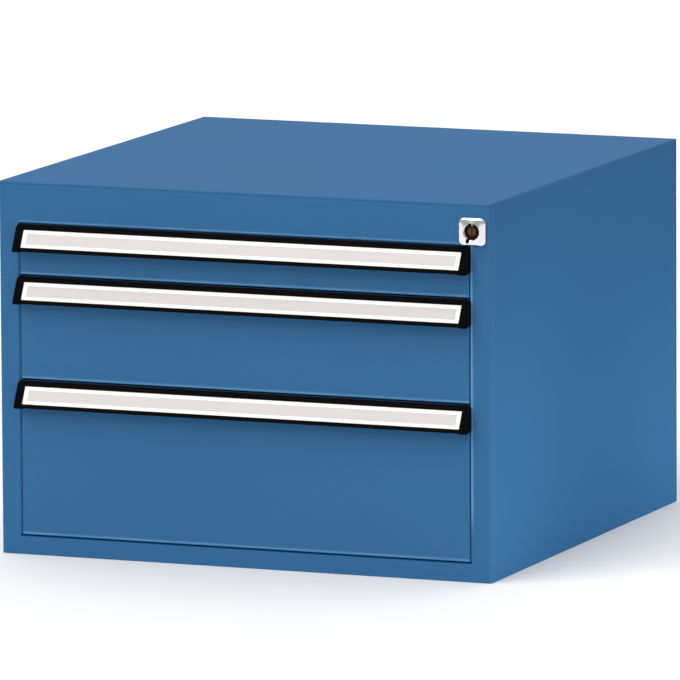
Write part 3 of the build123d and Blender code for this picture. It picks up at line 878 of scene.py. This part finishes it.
def make_back_panel():
    """Rear sheet with a raised field, and spot-weld marks over the flanges round its margin."""
    low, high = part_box("back_panel")
    size = high - low
    centre = (low + high) / 2
    field = size.x / 2 - BACK_MARGIN - TOUCH
    panel = block("back_panel_welded", "cabinet_paint", low, high)
    work_on(panel)
    pick("FACE", lambda face: face.normal.y > FACING)
    bpy.ops.mesh.inset(thickness=BACK_MARGIN)
    bpy.ops.mesh.inset(thickness=BACK_STEP_WIDTH)
    rear = high.y - TOUCH
    pick("VERT", lambda vert: vert.co.y > rear and abs(vert.co.x - centre.x) > field)
    bpy.ops.transform.translate(value=(0, -BACK_STEP, 0))
    side = high.x - TOUCH
    pick("EDGE", lambda edge: runs_along(edge, 2) and abs(middle_of(edge).x) > side
         and middle_of(edge).y > centre.y)
    bpy.ops.mesh.bevel(offset=BACK_BEVEL, segments=BACK_BEVEL_STEPS)
    leave(panel)
    y = high.y - BACK_STEP + WELD_RADIUS - WELD_DEPTH
    rise = (size.z - 2 * WELD_FROM_END) / (WELD_ROWS - 1)
    run = (size.x - 2 * WELD_FROM_END) / (WELD_COLUMNS - 1)
    wide, tall = size.x - 2 * WELD_FROM_EDGE, size.z - 2 * WELD_FROM_EDGE
    first_up = Vector((low.x + WELD_FROM_EDGE, y, low.z + WELD_FROM_END))
    first_along = Vector((low.x + WELD_FROM_END, y, low.z + WELD_FROM_EDGE))
    cut(panel, weld_marks(first_up, WELD_ROWS, (0, 0, rise), (wide, 0, 0)), WELD_SHARP_ANGLE)
    cut(panel, weld_marks(first_along, WELD_COLUMNS, (run, 0, 0), (0, 0, tall)), WELD_SHARP_ANGLE)
    fit(panel, "housing", "cabinet_paint", "back_panel")


def handle_point(number, down, out):
    """Point on the right end of a handle, this far down its sloping face and out from it."""
    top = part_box(f"drawer_{number}_front")[1].z
    ahead = HANDLE_TOP + down * sin(HANDLE_LEAN) + out * cos(HANDLE_LEAN)
    drop = down * cos(HANDLE_LEAN) - out * sin(HANDLE_LEAN)
    return Vector((HANDLE_END, cad_front - ahead, top - drop))


def make_end_caps(number):
    """Moulded caps on both ends of a handle, rounded outside and flat against the profile."""
    node = f"drawer_{number}_end_caps"
    low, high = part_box(node)
    inner = (HANDLE_END, low.y, low.z)
    caps = block(f"drawer_{number}_moulded_caps", "cap_plastic", inner, high)
    work_on(caps)
    outward = Vector((0, -cos(HANDLE_LEAN), sin(HANDLE_LEAN)))
    downward = Vector((0, -sin(HANDLE_LEAN), -cos(HANDLE_LEAN)))
    tip = handle_point(number, HANDLE_FACE + CAP_PROUD, CAP_PROUD)
    inner_tip = handle_point(number, HANDLE_FACE + CAP_PROUD, -CAP_DEPTH)
    heel = Vector((HANDLE_END, high.y, handle_point(number, HANDLE_FACE, 0).z))
    sole = inner_tip - heel
    under = Vector((0, sole.z, -sole.y)).normalized()
    if under.z > 0:
        under.negate()
    for point, normal in ((tip, outward), (tip, downward), (heel, under)):
        pick_all()
        bpy.ops.mesh.bisect(plane_co=point, plane_no=normal, use_fill=True, clear_outer=True)
    end, top = high.x - TOUCH, high.z - TOUCH
    pick("EDGE", lambda edge: all(vert.co.x > end and vert.co.z > top for vert in edge.verts))
    bpy.ops.mesh.bevel(offset=CAP_CORNER, segments=CAP_CORNER_STEPS)
    root, sharp = HANDLE_END + TOUCH, radians(SHARP_ANGLE)
    pick("EDGE", lambda edge: middle_of(edge).x > root and edge.calc_face_angle() > sharp)
    bpy.ops.mesh.bevel(offset=CAP_ROUND, segments=CAP_ROUND_STEPS, clamp_overlap=True)
    add_mirror_image(0)
    leave(caps)
    fit(caps, f"drawer_{number}", "cap_plastic", node)


def make_label_cover(number):
    """Clear strip over a label, with softened edges, held just off the card."""
    node = f"drawer_{number}_label_cover"
    low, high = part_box(node)
    centre = handle_point(number, LABEL_MIDDLE, COVER_OUT)
    centre.x = 0.0
    cover = begin(
        f"drawer_{number}_clear_strip", "label_film", bpy.ops.mesh.primitive_cube_add,
        size=1.0, location=centre, rotation=(-HANDLE_LEAN, 0, 0),
        scale=(high.x - low.x, COVER_THICKNESS, COVER_HEIGHT),
    )
    work_on(cover)
    pick_all()
    bpy.ops.mesh.bevel(offset=COVER_ROUND, segments=COVER_ROUND_STEPS)
    leave(cover)
    fit(cover, f"drawer_{number}", "label_film", node)


def make_tray(number):
    """Folded drawer body with a hemmed rim and rows of slots in its front and rear walls."""
    node = f"drawer_{number}_tray"
    low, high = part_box(node)
    size = high - low
    tray = block(f"drawer_{number}_slotted_tray", "drawer_paint", low, high)
    work_on(tray)
    pick("EDGE", lambda edge: runs_along(edge, 2))
    bpy.ops.mesh.bevel(offset=TRAY_BEND, segments=TRAY_BEND_STEPS)
    pick("EDGE", lambda edge: max(vert.co.z for vert in edge.verts) < low.z + TOUCH)
    bpy.ops.mesh.bevel(offset=TRAY_SHEET, segments=TRAY_FOOT_STEPS)
    pick("FACE", lambda face: face.normal.z > FACING)
    bpy.ops.mesh.inset(thickness=2 * TRAY_SHEET)
    extrude(0, 0, -TRAY_HEM)
    wider, longer = [
        (side / 2 - TRAY_SHEET) / (side / 2 - 2 * TRAY_SHEET) for side in (size.x, size.y)
    ]
    extrude(0, 0, 0)
    bpy.ops.transform.resize(value=(wider, longer, 1), center_override=(low + high) / 2)
    extrude(0, 0, low.z + TRAY_SHEET - (high.z - TRAY_HEM))
    leave(tray)
    cut(tray, divider_slots(low, high))
    fit(tray, f"drawer_{number}", "drawer_paint", node)


def divider_slots(low, high):
    """Bars that cut the slots for dividers, in as many rows as a tray has room for."""
    rows = max(1, round((high.z - low.z) / SLOT_ROW))
    room = high.z - TRAY_HEM - low.z - 2 * SLOT_MARGIN
    tall = (room - (rows - 1) * SLOT_MARGIN) / rows
    foot = low.z + SLOT_MARGIN
    first = -SLOT_PITCH * (SLOT_COUNT - 1) / 2
    tool = block(
        "slot_tool", "drawer_paint",
        (first - SLOT_WIDTH / 2, low.y - SLOT_TOOL_OUT, foot),
        (first + SLOT_WIDTH / 2, low.y + SLOT_TOOL_IN, foot + tall),
    )
    repeat(tool, SLOT_COUNT, (SLOT_PITCH, 0, 0))
    repeat(tool, rows, (0, 0, tall + SLOT_MARGIN))
    repeat(tool, 2, (0, high.y - low.y + SLOT_TOOL_OUT - SLOT_TOOL_IN, 0))
    return tool


def make_slide_rivets(number):
    """Rivets with one domed head inside a tray and one in the drawer member of its slide."""
    rail_low, rail_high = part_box(f"drawer_{number}_drawer_rail_right")
    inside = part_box(f"drawer_{number}_tray")[1].x - TRAY_SHEET
    first = rail_low.y + RIVET_END
    pitch = (rail_high.y - rail_low.y - 2 * RIVET_END) / (RIVET_COUNT - 1)
    place = (inside - RIVET_DOME / 2, first, (rail_low.z + rail_high.z) / 2)
    rivets = begin(
        f"drawer_{number}_slide_rivets", "zinc_steel", bpy.ops.mesh.primitive_cylinder_add,
        vertices=RIVET_SIDES, radius=RIVET_RADIUS, depth=RIVET_DOME,
        location=place, rotation=(0, pi / 2, 0),
    )
    work_on(rivets)
    pick("FACE", lambda face: face.normal.x < -FACING)
    bpy.ops.mesh.bevel(offset=RIVET_ROUND, segments=RIVET_ROUND_STEPS)
    leave(rivets)
    repeat(rivets, RIVET_COUNT, (0, pitch, 0))
    work_on(rivets)
    add_mirror_image((inside + rail_low.x + RAIL_SHEET) / 2)
    add_mirror_image(0)
    leave(rivets)
    fit(rivets, f"drawer_{number}", "zinc_steel")


def make_middle_rails(number):
    """Folded middle members of a pair of slides, with punched slots along each web."""
    left, right = (f"drawer_{number}_middle_rail_{side}" for side in ("left", "right"))
    low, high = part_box(right)
    size = high - low
    middle = (low + high) / 2
    web = Vector((high.x, middle.y, middle.z))
    rails = begin(
        f"drawer_{number}_punched_rails", "zinc_steel", bpy.ops.mesh.primitive_plane_add,
        size=1.0, location=web, rotation=(0, pi / 2, 0),
    )
    work_on(rails)
    pick_all()
    bpy.ops.transform.resize(value=(1, size.y, size.z), center_override=web)
    pick("EDGE", lambda edge: runs_along(edge, 1))
    extrude(-size.x, 0, 0)
    outer = high.x - TOUCH
    pick("EDGE", lambda edge: runs_along(edge, 1) and middle_of(edge).x > outer)
    bpy.ops.mesh.bevel(offset=RAIL_BEND, segments=RAIL_BEND_STEPS)
    leave(rails)
    thicken(rails, RAIL_SHEET, (-1, 0, 0))
    half = Vector((2 * RAIL_SHEET, HOLE_LENGTH / 2, HOLE_HEIGHT / 2))
    first = Vector((web.x, low.y + HOLE_FROM_END, web.z))
    tool = block("hole_tool", "zinc_steel", first - half, first + half)
    work_on(tool)
    pick("EDGE", lambda edge: runs_along(edge, 0))
    bpy.ops.mesh.bevel(offset=NEARLY_HALF * HOLE_HEIGHT, segments=HOLE_ROUND_STEPS)
    leave(tool)
    pitch = (size.y - 2 * HOLE_FROM_END) / (HOLE_COUNT - 1)
    repeat(tool, HOLE_COUNT, (0, pitch, 0))
    cut(rails, tool)
    work_on(rails)
    add_mirror_image(0)
    leave(rails)
    fit(rails, f"carriage_{number}", "zinc_steel", right, left)


def make_floor():
    bpy.ops.object.select_all(action="DESELECT")
    place = (0, 0, cad_low.z - FLOOR_DROP)
    bpy.ops.mesh.primitive_plane_add(size=FLOOR_SIZE, location=place)
    floor = bpy.context.active_object
    floor.name = "floor"
    bpy.ops.object.transform_apply(location=True, rotation=True, scale=True)
    floor.data.materials.append(pale_floor("pale_floor"))


def make_sky():
    """Pale surroundings, brighter overhead, that light the cabinet less than they show."""
    sky = Finish("studio", "worlds")
    point = sky.node("ShaderNodeTexCoord", output="Generated")
    upward = sky.node("ShaderNodeSeparateXYZ", None, {"Vector": point}, output="Z")
    inputs = {"Value": upward, "To Min": SKY_LOW, "To Max": SKY_HIGH}
    light = sky.node("ShaderNodeMapRange", None, inputs)
    seen = sky.node("ShaderNodeLightPath", output="Is Camera Ray")
    inputs = {"Value": seen, "To Min": light, "To Max": SKY_SEEN}
    strength = sky.node("ShaderNodeMapRange", None, inputs)
    shader = sky.node("ShaderNodeBackground", None, {"Color": SKY_WHITE, "Strength": strength})
    sky.node("ShaderNodeOutputWorld", None, {"Surface": shader})
    bpy.context.scene.world = sky.owner


def direction(azimuth, elevation):
    """Unit vector from the cabinet to a place round it. Azimuth 0 is in front, 90 on the right."""
    a, e = radians(azimuth), radians(elevation)
    return Vector((sin(a) * cos(e), -cos(a) * cos(e), sin(e)))


def add_to_scene(name, data):
    """Puts a light or a camera in the scene."""
    thing = bpy.data.objects.new(name, data)
    bpy.context.scene.collection.objects.link(thing)
    return thing


def add_lamp(name, light, source):
    """Puts a light in the scene, turned so that it shines from the side of a source."""
    lamp = add_to_scene(name, light)
    lamp.rotation_mode = "QUATERNION"
    lamp.rotation_quaternion = source.to_track_quat("Z", "Y")
    return lamp


def make_far_light(name, azimuth, elevation, strength, spread):
    """Large soft light, far away."""
    light = bpy.data.lights.new(name, "SUN")
    light.energy = strength
    light.angle = radians(spread)
    add_lamp(name, light, direction(azimuth, elevation))


def make_floor_light(name, place, size, power):
    """Small soft light by the floor, turned up a little at the cabinet, fading at its edge."""
    light = bpy.data.lights.new(name, "SPOT")
    light.spot_size = radians(FLOOR_LIGHT_CONE)
    light.spot_blend = 1.0
    light.shadow_soft_size = size
    light.energy = power
    lamp = add_lamp(name, light, Vector((*place[:2], FLOOR_LIGHT_DROP)))
    lamp.location = place
    lamp.visible_camera = False
    lamp.visible_glossy = False


def make_camera():
    ahead = -direction(CAMERA_AZIMUTH, CAMERA_ELEVATION)
    level = direction(CAMERA_AZIMUTH + 90.0, 0.0)
    upright = level.cross(ahead)
    roll = radians(CAMERA_ROLL)
    right = cos(roll) * level + sin(roll) * upright
    up = cos(roll) * upright - sin(roll) * level
    lens = bpy.data.cameras.new("camera")
    lens.sensor_width = SENSOR_MM
    lens.lens = SENSOR_MM * FOCAL_PIXELS / IMAGE_PIXELS
    lens.clip_end = CAMERA_REACH
    camera = add_to_scene("camera", lens)
    turn = Matrix((right, up, -ahead)).transposed().to_4x4()
    camera.matrix_world = Matrix.Translation(CAMERA_PLACE) @ turn
    bpy.context.scene.camera = camera


finishes = dress_nodes()
make_lock_bezel()
make_keyway_lips()
make_barrel_index()
make_back_panel()
for number in DRAWERS:
    make_end_caps(number)
    make_label_cover(number)
    make_tray(number)
    make_slide_rivets(number)
    make_middle_rails(number)
make_floor()
make_sky()
for name, values in FAR_LIGHTS.items():
    make_far_light(name, *values)
for name, values in FLOOR_LIGHTS.items():
    make_floor_light(name, *values)
make_camera()
bpy.context.scene.view_settings.view_transform = "Standard"
